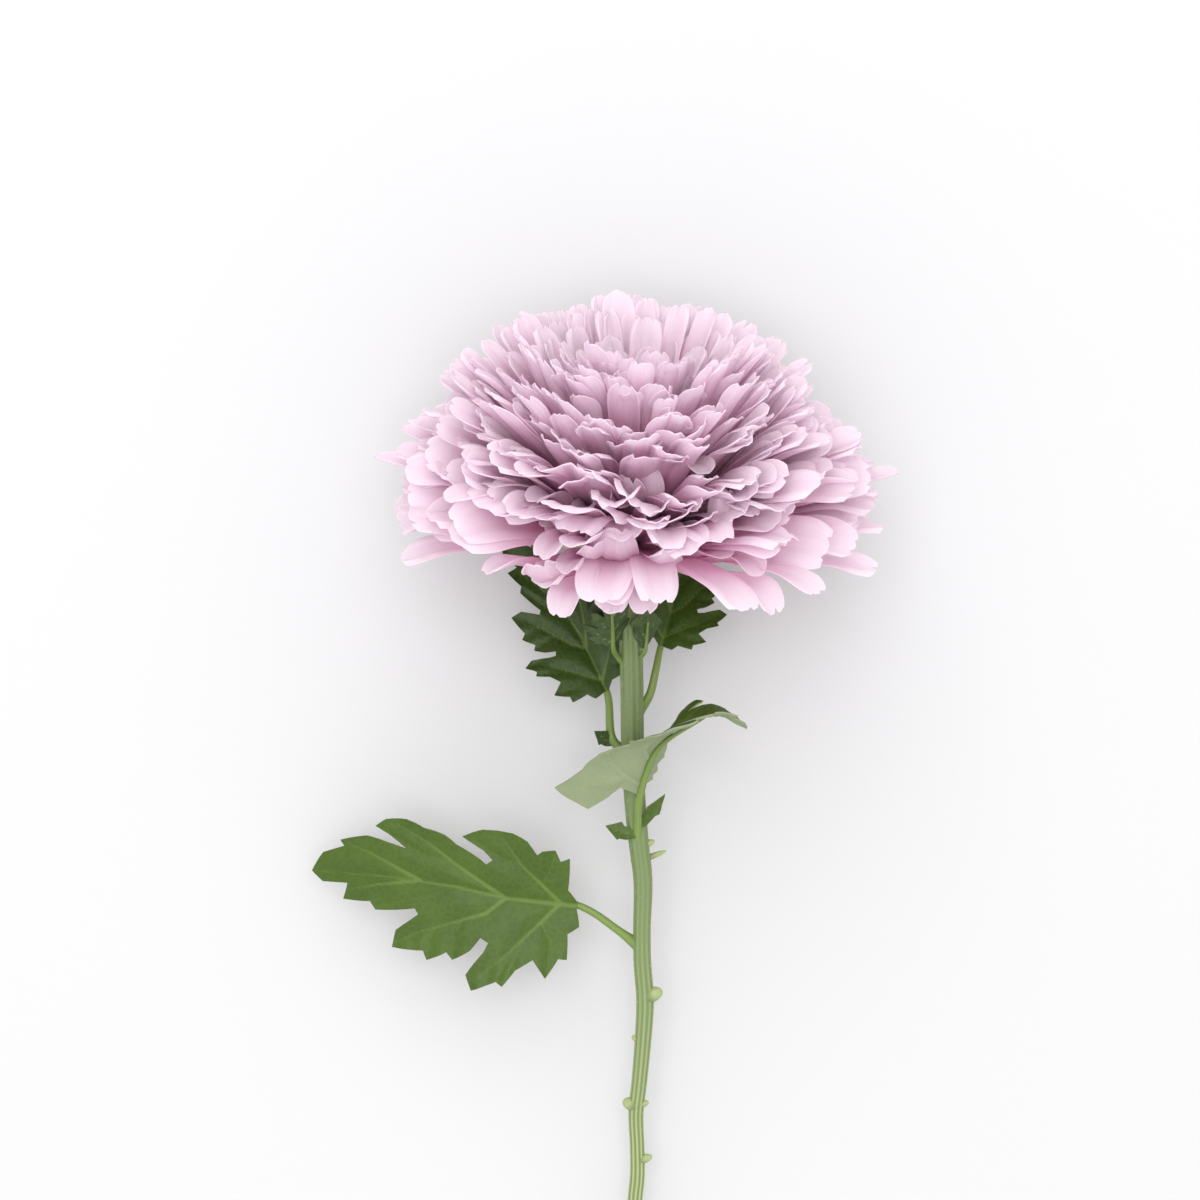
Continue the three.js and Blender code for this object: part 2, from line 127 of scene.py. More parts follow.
def join(objects, name):
    pick(*objects)
    if len(objects) > 1:
        bpy.ops.object.join()
    joined = bpy.context.view_layer.objects.active
    joined.name = name
    joined.data.name = name
    return joined


def smooth(obj, angle=60):
    pick(obj)
    bpy.ops.object.shade_smooth_by_angle(angle=math.radians(angle))


def place(obj, slot, *nodes):
    """Rides on the flower's one body and stands for these nodes of the solids."""
    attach(obj, "root")
    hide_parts(*nodes)
    triangles = sum(len(face.vertices) - 2 for face in obj.data.polygons)
    print(f"{obj.name}: {triangles} triangles")


# %% [markdown]
# ## Materials
# A petal is thin and wet inside, so much of the light that lands on it goes through. That's why a pink
# flower glows and its folds get pinker: light has passed through several petals there. A Translucent shader
# mixed with the Principled one does this. Leaves are thicker, waxier above and dull below.


# %% Colours and node building
def colour(hex_code):
    """An sRGB hex colour as the linear values that Blender's shaders use."""
    channels = [int(hex_code[k : k + 2], 16) / 255 for k in (1, 3, 5)]
    linear = [c / 12.92 if c <= 0.04045 else ((c + 0.055) / 1.055) ** 2.4 for c in channels]
    return (*linear, 1)


def add_node(tree, kind, settings=None, links=None):
    """Adds a node. settings set its properties and input values, links join its inputs to other sockets."""
    node = tree.nodes.new(kind)
    for key, value in (settings or {}).items():
        if isinstance(key, str) and hasattr(node, key):
            setattr(node, key, value)
        else:
            node.inputs[key].default_value = value
    for key, socket in (links or {}).items():
        tree.links.new(socket, node.inputs[key])
    return node


def new_material(name):
    material = bpy.data.materials.new(name)
    material.use_nodes = True
    material.node_tree.nodes.clear()
    return material, material.node_tree


def blend_colours(tree, factor, low, high):
    """A colour between low and high. Each is a hex code or a socket, and so is the factor's number."""
    mix = tree.nodes.new("ShaderNodeMix")
    mix.data_type = "RGBA"
    for socket, value in ((mix.inputs[0], factor), (mix.inputs[6], low), (mix.inputs[7], high)):
        if isinstance(value, str):
            socket.default_value = colour(value)
        elif isinstance(value, (int, float)):
            socket.default_value = value
        else:
            tree.links.new(value, socket)
    return mix.outputs[2]


def fade(tree, value, low, high, out_low=0.0, out_high=1.0):
    """Turns a socket's value from low..high into out_low..out_high, smoothly."""
    settings = {1: low, 2: high, 3: out_low, 4: out_high, "interpolation_type": "SMOOTHSTEP"}
    return add_node(tree, "ShaderNodeMapRange", settings, {0: value}).outputs[0]


def add_bump(tree, height, strength, depth, links=None):
    """Raises the surface by up to depth metres where the height socket is high."""
    settings = {"Strength": strength, "Distance": depth}
    return add_node(tree, "ShaderNodeBump", settings, {"Height": height, **(links or {})}).outputs[0]


def finish_material(material, shader):
    """Shows this shader node on the surface."""
    links = {"Surface": shader.outputs[0]}
    add_node(material.node_tree, "ShaderNodeOutputMaterial", links=links)
    return material


print("petal pink in linear values:", [round(c, 3) for c in colour("#f0e0ec")[:3]])


# %% The petals' two faces
LIGHT_THROUGH_PETAL = 0.65


def petal_material(name, base_pink_and_shade, pale, claw):
    """A living ray floret. It is smooth but faintly ribbed along its length, with a soft sheen."""
    material, tree = new_material(name)
    uv = add_node(tree, "ShaderNodeUVMap", {"uv_map": "UVMap"})
    along = add_node(tree, "ShaderNodeSeparateXYZ", links={0: uv.outputs[0]}).outputs[1]
    tone = add_node(tree, "ShaderNodeAttribute", {"attribute_name": "tone"}).outputs["Fac"]

    # The colour is deepest low in the petal and pales towards its tip.
    # That stronger pink low in the petal is partly the petal's own colour and partly painted shade, so the
    # folds inside the bloom look pink.
    tip = fade(tree, along, 0.3, 0.9)
    body = blend_colours(tree, tip, base_pink_and_shade, pale)
    lighter = blend_colours(tree, fade(tree, tone, 0, 1, 0, 0.3), body, "#faf2f8")
    foot = fade(tree, along, 0.06, 0.26)
    toned = blend_colours(tree, foot, claw, lighter)

    # Fine veins run from foot to tip, about one to each half millimetre of a petal's width.
    stretch = add_node(tree, "ShaderNodeMapping", {"Scale": (26, 2.2, 1)}, {0: uv.outputs[0]})
    noise_settings = {"Scale": 1, "Detail": 3, "Roughness": 0.6}
    veins = add_node(tree, "ShaderNodeTexNoise", noise_settings, {"Vector": stretch.outputs[0]})
    vein = fade(tree, veins.outputs[0], 0.42, 0.62)
    veined = blend_colours(tree, fade(tree, vein, 0, 1, 0, 0.22), toned, base_pink_and_shade)

    ribs = add_bump(tree, veins.outputs[0], 0.25, 0.00025)
    skin = add_node(
        tree,
        "ShaderNodeBsdfPrincipled",
        {"Roughness": 0.5, "IOR": 1.4, "Sheen Weight": 0.15, "Sheen Roughness": 0.5},
        {"Base Color": veined, "Normal": ribs},
    )
    through = add_node(tree, "ShaderNodeBsdfTranslucent", links={"Color": veined, "Normal": ribs})
    faces = {1: skin.outputs[0], 2: through.outputs[0]}
    both = add_node(tree, "ShaderNodeMixShader", {0: LIGHT_THROUGH_PETAL}, faces)
    return finish_material(material, both)


petal_inner = petal_material("petal_inner_face", "#f5b4d7", "#f4e8f1", "#ece6cc")
petal_outer = petal_material("petal_outer_face", "#f5e2ed", "#f6f0f4", "#e4e4c4")
print("petal faces:", petal_inner.name, petal_outer.name)



# %% [markdown]
# ## The bloom's frame
# The bloom nods: its axis leans 22 degrees up off the table. Every petal is placed by its azimuth round that
# axis and by how steeply it rises from the plane across it.

# %% Where the bloom sits
NECK = np.array([6.5, 79.9, 41.0])
NOD = 22
LEAN = 0.05
RECEPTACLE = {"radius": 8.0, "height": 4.0}


def unit(v):
    return v / np.linalg.norm(v)


nod = math.radians(NOD)
axis = unit(np.array([LEAN, math.cos(nod), math.sin(nod)]))
front = np.array([0.0, -math.sin(nod), math.cos(nod)])
front = unit(front - axis * front.dot(axis))
right = np.cross(axis, front)


def outward(azimuth):
    """The direction out from the axis: 0 is to the right and 90 is up off the table."""
    a = math.radians(azimuth)
    return right * math.cos(a) + front * math.sin(a)


print("bloom axis:", axis.round(3))

# %% [markdown]
# ## Petal blanks
# A ray floret is a flat ribbon before it curls. Each blank is a grid whose tip is pulled into one of the
# shapes that the petals have: round, cleft, or with two or three small teeth. The proportional move drags
# the neighbours along, as a soft brush would. The rows are set closer towards the tip, where the shape is.

# %% Pull the tips of the blanks
ACROSS = 8
ALONG = 20
ROW_CROWDING = 1.5


def pull(obj, spots, move, reach):
    """Moves the points nearest to each spot along y, and their neighbours within reach a little."""
    points = coordinates(obj)[:, :2]
    chosen = {int(np.argmin(((points - spot) ** 2).sum(1))) for spot in spots}
    for vertex in obj.data.vertices:
        vertex.select = vertex.index in chosen
    for part in (*obj.data.edges, *obj.data.polygons):
        part.select = False
    pick(obj)
    bpy.ops.object.mode_set(mode="EDIT")
    bpy.ops.mesh.select_mode(type="VERT")
    bpy.ops.transform.translate(
        value=(0, move, 0),
        use_proportional_edit=True,
        proportional_edit_falloff="SHARP",
        proportional_size=reach,
    )
    bpy.ops.object.mode_set(mode="OBJECT")


def petal_blank(name, pulls):
    blank = add_grid(name, ACROSS, ALONG)
    flat = coordinates(blank)
    flat[:, 1] = 1 - 2 * ((1 - flat[:, 1]) / 2) ** ROW_CROWDING
    set_coordinates(blank.data, flat)
    for spots, move, reach in pulls:
        pull(blank, spots, move, reach)
    return blank


CORNERS = [(-1, 1), (1, 1)]
BLANKS = [
    petal_blank("blank_round", [(CORNERS, -0.05, 0.5), ([(0, 1)], 0.02, 0.9)]),
    petal_blank("blank_blunt", [(CORNERS, -0.03, 0.4), ([(-0.6, 1)], -0.02, 0.3)]),
    petal_blank("blank_cleft", [(CORNERS, -0.04, 0.5), ([(0.2, 1)], -0.07, 0.25)]),
    petal_blank("blank_toothed", [(CORNERS, -0.03, 0.4), ([(-0.4, 1), (0.4, 1)], -0.04, 0.25)]),
    petal_blank("blank_ragged", [(CORNERS, -0.05, 0.5), ([(-0.2, 1), (0.6, 1)], -0.035, 0.25)]),
]
print("blank points:", [len(blank.data.vertices) for blank in BLANKS])

# %% [markdown]
# ## How one petal grows
# Florets come off the receptacle at the golden angle, 137.5 degrees from one to the next, which packs them
# evenly. The first ones are at the rim: long, wide and spreading. The last ones, at the centre, are short,
# narrow and upright. The rule below gives each one its length, its curve and its cross-section.

# %% The rule for the petals
FLORETS = 540
GOLDEN_ANGLE = 137.508
BLOOM_REACH = 65.0
RIM_RISE = 7
FRONT_LIFT = 18
UNDER_LIFT = 12
CENTRE_RISE = 88
CENTRE_HOLLOW = 0.28


def floret_form(i, share):
    """The shape of floret i, whose share is 0 at the rim and 1 at the centre. Angles are in degrees."""
    azimuth = i * GOLDEN_ANGLE
    up = math.sin(math.radians(azimuth))
    facing = ramp(up, -0.1, 0.9)
    lowest = RIM_RISE + FRONT_LIFT * facing + UNDER_LIFT * ramp(-up, 0.55, 1)
    outer = 1 - share
    sideways = math.cos(math.radians(azimuth))
    shorter = CENTRE_HOLLOW * ramp(share, 0.78, 1) + 0.10 * facing * outer * draw(i, 5)
    shorter += outer * (0.08 * sideways**2 + 0.08 * draw(i, 10))
    start = math.sin(math.radians(lowest))
    even = math.degrees(math.asin(share * (1 - start) + start))
    steady = lowest + (CENTRE_RISE - lowest) * share**0.9
    return {
        "seed": i,
        "azimuth": azimuth + (5 + 7 * facing * outer) * spread(i, 2),
        "rise": 0.5 * (even + steady) + (7 - 4 * share) * spread(i, 1),
        "length": BLOOM_REACH * (1 - shorter) * (1 + (0.07 - 0.03 * share) * spread(i, 3)),
        "half": (6.6 - 2.6 * ramp(share, 0, 0.7)) * (1 + 0.16 * spread(i, 9)),
        "arch": 13 - 18 * share**0.7 + 7 * spread(i, 4),
        "cup": 0.8 + 0.5 * ramp(share, 0, 0.4) + (0.4 + 0.2 * facing * outer) * spread(i, 6),
        "flare": 26 * (1 - 0.8 * share) * (-0.2 + 1.4 * draw(i, 7)),
        "twist": 34 * sideways * outer + (14 + 24 * outer) * spread(i, 8),
    }


# The long and hanging petals at the rim, each seen in its own place past its neighbours.
RIM_FLORETS = facts_table("azimuth rise length half arch cup flare twist", [
    (99, 11, 54, 7.0, 30, 0.5, 16, 8),
    (84, 12, 55, 5.8, 30, 0.7, 16, -8),
    (63, 9, 57, 6.2, 16, 0.6, 12, -8),
    (44, 10, 60, 5.6, 12, 0.8, 12, -8),
    (14, 5, 60, 4.8, 6, 1.0, 6, 12),
    (2, 11, 61, 4.8, 6, 1.0, 6, 5),
    (352, 19, 68, 4.2, 4, 1.0, 0, 5),
    (186, 19, 66, 5.0, 4, 0.8, 6, 5),
    (170, 1, 56, 4.6, 14, 0.8, 12, -20),
])
rim = [{**form, "seed": 900 + k} for k, form in enumerate(RIM_FLORETS)]

# On the side that faces up, some petals are crowded out of line and roll and fold between the others.
CROWDED_FLORETS = 40


def crowded_form(k):
    """A floret that is folded and turned between its neighbours on the upper side."""
    lift = (k + 0.5) / CROWDED_FLORETS
    return {
        "seed": 500 + k,
        "azimuth": 90 + (50 - 14 * lift) * spread(k, 21),
        "rise": 8 + 42 * lift + 4 * spread(k, 22),
        "length": 38 + 16 * draw(k, 23) + 5 * lift,
        "half": 6.4 + 1.0 * spread(k, 24) - 1.6 * lift,
        "arch": -2 + 14 * spread(k, 25),
        "cup": 1.45 + 0.35 * spread(k, 26),
        "flare": (20 + 45 * draw(k, 29)) * math.copysign(1, spread(k, 27) + 0.3 - 0.5 * lift),
        "twist": 50 * spread(k, 28),
    }


print("centre floret:", {key: round(value, 1) for key, value in floret_form(300, 0.9).items()})


# %% Curl a copy of a blank
def floret_line(form, steps=60):
    """The petal's middle line: distance from the axis, height along it and slope, at even steps."""
    rise = math.radians(form["rise"])
    foot = max(rise, 0)
    t = np.linspace(0, 1, steps + 1)
    bend = form["arch"] * (1 - 2 * t) - form["flare"] * ramp(t, 0.72, 1)
    slope = rise + np.radians(bend)
    stride = (form["length"] - RECEPTACLE["radius"]) / steps
    r = RECEPTACLE["radius"] * math.cos(foot) + np.concatenate([[0], np.cumsum(np.cos(slope[1:])) * stride])
    h = RECEPTACLE["height"] * math.sin(foot) + np.concatenate([[0], np.cumsum(np.sin(slope[1:])) * stride])
    return t, r, h, slope


NEAR_TABLE = 5.0
PRESSED_DOWN = 0.5
LOWEST_PETAL = 0.25


def above_table(points):
    """Petals that would reach through the table lie along it. All that is near it is squeezed together."""
    low = points[:, 2] < NEAR_TABLE
    points[low, 2] = NEAR_TABLE * np.exp((points[low, 2] - NEAR_TABLE) / NEAR_TABLE) - PRESSED_DOWN
    points[:, 2] = np.maximum(points[:, 2], LOWEST_PETAL)
    return points


def curl(flat, form):
    """Where the points of a flat blank go in a petal of this form."""
    x = flat[:, 0]
    y = (flat[:, 1] + 1) / 2
    along = np.clip(y, 0, 1)
    t, r, h, slope = floret_line(form)
    r, h, slope = (np.interp(along, t, values)[:, None] for values in (r, h, slope))
    out = outward(form["azimuth"])
    side = np.cross(axis, out)
    forward = out * np.cos(slope) + axis * np.sin(slope)
    upward = axis * np.cos(slope) - out * np.sin(slope)

    # The petal widens from its claw, and rounds off bluntly at its tip.
    blunt = 1.5 * form["half"] / form["length"]
    width = form["half"] * (0.3 + 0.7 * ramp(along, 0.02, 0.74))
    width = width * np.sqrt(1 - 0.72 * np.clip((along - 1 + blunt) / blunt, 0, 1) ** 2)

    # Its cross-section is a tube at the claw and opens into a shallow scoop.
    opening = ramp(along, 0.1, 0.6)
    cup = (2.3 * (1 - opening) + form["cup"] * opening) * (1 - 0.25 * ramp(along, 0.8, 1))
    cup = np.maximum(cup, 0.05)
    across = width / cup * np.sin(cup * x)
    lift = width / cup * (1 - np.cos(cup * x))

    # Its edges roll out and ruffle, and shallow grooves run along its face.
    seed = form["seed"]
    lift = lift - 0.16 * form["half"] * np.abs(x) ** 5 * opening
    ruffle = 0.55 * np.sin(6 * x + 1.7 * seed) + 0.3 * np.sin(22 * along + seed + 2 * x)
    lift = lift + ruffle * ramp(along, 0.6, 1) * np.abs(x)
    lift = lift + 0.22 * np.cos(3 * math.pi * x) * ramp(along, 0.05, 0.3) * (1 - 0.5 * ramp(along, 0.8, 1))

    turn = np.radians(form["twist"]) * along
    across, lift = (
        across * np.cos(turn) - lift * np.sin(turn),
        across * np.sin(turn) + lift * np.cos(turn),
    )
    past_tip = (y - along) * form["length"]
    points = NECK + out * r + axis * h
    points = points + side * across[:, None] + upward * lift[:, None] + forward * past_tip[:, None]
    return above_table(points)


def grow_petal(form):
    """One petal: a copy of a blank with its own mesh and its own tone."""
    seed = form["seed"]
    blank = BLANKS[int(draw(seed, 11) * len(BLANKS))]
    mesh = blank.data.copy()
    set_coordinates(mesh, curl(coordinates(blank), form) * MM)
    set_attribute(mesh, "tone", np.full(len(mesh.vertices), draw(seed, 12)))
    petal = bpy.data.objects.new(f"petal_{seed}", mesh)
    bpy.context.scene.collection.objects.link(petal)
    return petal


print("middle of a blank on the first floret, in mm:", curl(np.zeros((1, 2)), floret_form(0, 0)).round(1))

# %% [markdown]
# ## The bloom
# The petals are joined in rings, so that no piece gets too heavy. Solidify gives them their wall: a real
# petal is about a quarter of a millimetre thick. It also puts the outer face in a second material slot.

# %% Grow the rings of petals
RINGS = {
    "petals_rim": (0, 0.25),
    "petals_outer": (0.25, 0.48),
    "petals_middle": (0.48, 0.75),
    "petals_centre": (0.75, 1.01),
}
PETAL_WALL = 0.22

forms = [floret_form(i, i / (FLORETS - 1)) for i in range(FLORETS)]
for name, (inner, outer) in RINGS.items():
    members = [form for i, form in enumerate(forms) if inner <= i / (FLORETS - 1) < outer]
    if name == "petals_rim":
        members += rim
    if name == "petals_outer":
        members += [crowded_form(k) for k in range(CROWDED_FLORETS)]
    ring = join([grow_petal(form) for form in members], name)
    ring.data.materials.clear()
    ring.data.materials.append(petal_inner)
    ring.data.materials.append(petal_outer)
    apply_modifier(ring, "SOLIDIFY", thickness=PETAL_WALL * MM, offset=0, material_offset=1)
    smooth(ring)
    place(ring, "petals", "bloom")

for blank in BLANKS:
    bpy.data.objects.remove(blank)

# %% [markdown]
# ## Lines that bend: stems, stalks and midribs
# A stem is a tube that follows a smooth line through a few points. The line is a Catmull-Rom curve, which
# passes through every point without overshooting. The tube is made the way one rolls paper: a grid is wrapped
# round the line, its long seam is merged and its two ends are filled.


# %% A smooth line through points
def smooth_line(points, samples=40):
    """A centripetal Catmull-Rom curve as close points, with the distance along it and its directions."""
    points = [np.asarray(p, dtype=float) for p in points]
    ends = [2 * points[0] - points[1], *points, 2 * points[-1] - points[-2]]
    line = []
    for p0, p1, p2, p3 in zip(ends, ends[1:], ends[2:], ends[3:]):
        spans = ((p0, p1), (p1, p2), (p2, p3))
        knots = np.cumsum([0] + [math.sqrt(np.linalg.norm(b - a)) for a, b in spans])
        for t in np.linspace(knots[1], knots[2], samples, endpoint=False):
            a1 = ((knots[1] - t) * p0 + (t - knots[0]) * p1) / (knots[1] - knots[0])
            a2 = ((knots[2] - t) * p1 + (t - knots[1]) * p2) / (knots[2] - knots[1])
            a3 = ((knots[3] - t) * p2 + (t - knots[2]) * p3) / (knots[3] - knots[2])
            b1 = ((knots[2] - t) * a1 + (t - knots[0]) * a2) / (knots[2] - knots[0])
            b2 = ((knots[3] - t) * a2 + (t - knots[1]) * a3) / (knots[3] - knots[1])
            line.append(((knots[2] - t) * b1 + (t - knots[1]) * b2) / (knots[2] - knots[1]))
    line = np.array([*line, points[-1]])
    places = np.concatenate([[0], np.cumsum(np.linalg.norm(np.diff(line, axis=0), axis=1))])
    directions = np.gradient(line, places, axis=0)
    directions /= np.linalg.norm(directions, axis=1)[:, None]
    return {"points": line, "places": places, "directions": directions, "length": places[-1]}


def on_line(line, place):
    """The points and directions of the line at these distances along it."""
    point = np.stack([np.interp(place, line["places"], line["points"][:, k]) for k in range(3)], axis=-1)
    way = np.stack([np.interp(place, line["places"], line["directions"][:, k]) for k in range(3)], axis=-1)
    return point, way / np.linalg.norm(way, axis=-1, keepdims=True)


bent = smooth_line([(0, 0, 0), (10, 5, 0), (20, 0, 0)])
print("length in mm of a bent line that is 20 mm wide:", round(bent["length"], 1))


# %% Roll a grid into a tube
SEAM_GAP = 0.0005
PLAIN_RIB = 0.7


def roll_tube(name, line, radius_at, rows, sides, ribs=0, rib_height=0.0):
    """A closed tube along a line. radius_at(share) is its radius, and ribs run along it."""
    tube = add_grid(name, sides, rows)
    flat = coordinates(tube)
    angle = math.pi * flat[:, 0]
    share = (flat[:, 1] + 1) / 2
    centre, way = on_line(line, share * line["length"])
    reference = np.array([0.0, 0.0, 1.0])
    normal = reference - way * (way @ reference)[:, None]
    normal /= np.linalg.norm(normal, axis=1)[:, None]
    binormal = np.cross(way, normal)
    radius = radius_at(share) * (1 + rib_height * np.cos(ribs * angle))
    around = normal * np.cos(angle)[:, None] + binormal * np.sin(angle)[:, None]
    set_coordinates(tube.data, centre + around * radius[:, None])
    crests = 0.5 + 0.5 * np.cos(ribs * angle) if ribs else np.full(len(angle), PLAIN_RIB)
    set_attribute(tube.data, "rib", crests)
    pick(tube)
    bpy.ops.object.mode_set(mode="EDIT")
    bpy.ops.mesh.select_all(action="SELECT")
    bpy.ops.mesh.remove_doubles(threshold=SEAM_GAP)
    bpy.ops.mesh.select_all(action="DESELECT")
    bpy.ops.mesh.select_non_manifold()
    bpy.ops.mesh.edge_face_add()
    bpy.ops.mesh.select_all(action="SELECT")
    bpy.ops.mesh.normals_make_consistent(inside=False)
    bpy.ops.object.mode_set(mode="OBJECT")
    return tube


# %% [markdown]
# ## Leaf shapes
# A chrysanthemum leaf is cut into lobes, and each lobe ends in a few small points. The outline is given as
# distances along the midrib and out from it, for a leaf 64.5 mm long. Between two points the edge swells a
# little, as it does between a leaf's teeth.

# %% Outlines
LEAF_LENGTH = 64.5
UPPER_EDGE = [
    (0, 0.8), (2.5, 3.5), (3, 11), (5, 10), (6.5, 12.5), (9.5, 12), (10.5, 11), (13, 14), (16.5, 15.5),
    (23, 15.5), (27.5, 13.2), (22.5, 10.6), (20.2, 8.6), (21.5, 7.4), (24, 9), (28.8, 11.2), (31.5, 13),
    (36.5, 14), (40.5, 15.5), (45, 15), (47.5, 13), (44.5, 11.5), (40, 8.5), (45.5, 9.8), (49.5, 10.5),
    (56.5, 8.5), (55.5, 7.2), (61, 5),
]
LOWER_EDGE = [
    (61, -2), (54.5, -1.5), (55, -5.2), (48, -4.8), (46.5, -6.6), (37, -5), (36, -6.2), (41, -10.5),
    (41.5, -14.6), (34, -14.4), (33, -16.5), (28.5, -14), (27, -15.6), (23, -12.8), (21, -9.6),
    (19.2, -10.5), (20, -12.8), (23.5, -18.5), (21.8, -21.8), (16.5, -19), (15, -20), (12.5, -16),
    (8.8, -13.2), (5.5, -17.2), (3, -12.4), (1, -12.4), (1.5, -6.6), (-1, -4.6), (0, -0.8),
]
LEAF_EDGE = [*UPPER_EDGE, (LEAF_LENGTH, 0), *LOWER_EDGE]
FRONT_LOBE = [
    (19.2, -10.5), (16, -14.4), (10, -18), (4.5, -25.5), (0, -23), (-3, -19), (-6, -14.8), (-1.5, -9),
    (2.8, -5.8), (0, -0.8),
]
FRONT_EDGE = [*((a, b * 0.6) for a, b in UPPER_EDGE), (LEAF_LENGTH, 0), *LOWER_EDGE[:15], *FRONT_LOBE]
BRACT_EDGE = [
    (0, 3), (16, 17), (30, 20), (33, 26), (46, 15), (LEAF_LENGTH, 0), (50, -12), (36, -25), (30, -17),
    (14, -15), (0, -3),
]

# The ribs: the midrib, and on each side three that run into the lobes.
RIBS = [
    [(0, 0), (16, 0), (28, 1.2), (43, 1.5), (LEAF_LENGTH, 0)],
    [(3.5, 0), (13.5, 8), (18.5, 14)],
    [(16.5, 0), (28.5, 6.5), (35, 10.5), (42.5, 14)],
    [(36.5, 1.5), (49, 6.5), (55, 8)],
    [(4, 0), (15, -13), (21, -19)],
    [(16.5, 0), (20.5, -4), (36, -10.5), (40, -13)],
    [(36.5, 1.5), (47.5, -1), (53.5, -3)],
]
SIDE_RIBS = [
    [(8.5, 4), (7, 8), (6.5, 11.5)],
    [(13.5, 8), (20, 10), (25.5, 13)],
    [(28.5, 6.5), (37, 8), (46, 12.5)],
    [(8, -4.2), (5, -9), (5.5, -15.5)],
    [(11, -8), (13, -14), (15, -19)],
    [(26, -6), (27, -10), (27, -15)],
    [(32, -9), (33, -12), (33, -16)],
    [(28, 1.2), (34, -1.8), (46, -5.8)],
]


def swollen(edge, swell=0.02, steps=4):
    """The outline with each stretch between two points curved outwards, but not beside a narrow notch."""
    points = np.array(edge, dtype=float)
    ways = np.roll(points, -1, axis=0) - points
    ways /= np.linalg.norm(ways, axis=1)[:, None]
    before = np.roll(ways, 1, axis=0)
    inward = before[:, 0] * ways[:, 1] - before[:, 1] * ways[:, 0] > 0
    narrow = inward & ((before * ways).sum(1) < 0.2)
    outline = []
    for k, (start, end) in enumerate(zip(points, np.roll(points, -1, axis=0))):
        beside_notch = narrow[k] or narrow[(k + 1) % len(points)]
        height = 0 if beside_notch else swell
        side = np.array([start[1] - end[1], end[0] - start[0]])
        for s in np.arange(steps) / steps:
            outline.append(start + (end - start) * s + side * height * 4 * s * (1 - s))
    return np.array(outline)


print("outline points of a full leaf:", len(swollen(LEAF_EDGE)))


# %% Cut the outline out of a thin sheet
SHEET_GRID = 0.55
LEAF_WALL = 0.45
CUT_DEPTH = 2.0


def cut_sheet(name, outline):
    """A flat leaf in millimetres, cut from a finely divided sheet. Its top is the upper face."""
    bpy.ops.object.select_all(action="DESELECT")
    bpy.ops.mesh.primitive_circle_add(vertices=len(outline), fill_type="NGON")
    cutter = bpy.context.object
    set_coordinates(cutter.data, np.column_stack([outline, np.full(len(outline), -CUT_DEPTH)]))
    pick(cutter)
    bpy.ops.object.mode_set(mode="EDIT")
    bpy.ops.mesh.select_all(action="SELECT")
    bpy.ops.mesh.extrude_region_move(TRANSFORM_OT_translate={"value": (0, 0, 2 * CUT_DEPTH)})
    bpy.ops.mesh.select_all(action="SELECT")
    bpy.ops.mesh.normals_make_consistent(inside=False)
    bpy.ops.object.mode_set(mode="OBJECT")

    low = outline.min(0) - 1
    high = outline.max(0) + 1
    cells = np.ceil((high - low) / SHEET_GRID).astype(int)
    sheet = add_grid(name, int(cells[0]), int(cells[1]))
    flat = coordinates(sheet)
    flat[:, :2] = low + (flat[:, :2] + 1) / 2 * (high - low)
    set_coordinates(sheet.data, flat)
    apply_modifier(sheet, "SOLIDIFY", thickness=LEAF_WALL, offset=0)
    apply_modifier(sheet, "BOOLEAN", operation="INTERSECT", object=cutter, solver="EXACT")
    bpy.data.objects.remove(cutter)
    return sheet


def distance_to(points, lines):
    """How far each flat point is from the nearest of these lines, and its share of the way along it."""
    best = np.full(len(points), 1e9)
    share = np.zeros(len(points))
    for line in lines:
        line = np.array(line, dtype=float)
        steps = np.linalg.norm(np.diff(line, axis=0), axis=1)
        places = np.concatenate([[0], np.cumsum(steps)]) / steps.sum()
        for k, (start, end) in enumerate(zip(line, line[1:])):
            way = end - start
            s = np.clip(((points - start) @ way) / (way @ way), 0, 1)
            gap = np.linalg.norm(points - start - s[:, None] * way, axis=1)
            closer = gap < best
            best[closer] = gap[closer]
            share[closer] = (places[k] + s * (places[k + 1] - places[k]))[closer]
    return best, share


lobe_edge = np.array([[20.0, 15.5]])
print("distance in mm from a lobe's edge to its rib:", distance_to(lobe_edge, RIBS)[0].round(1))
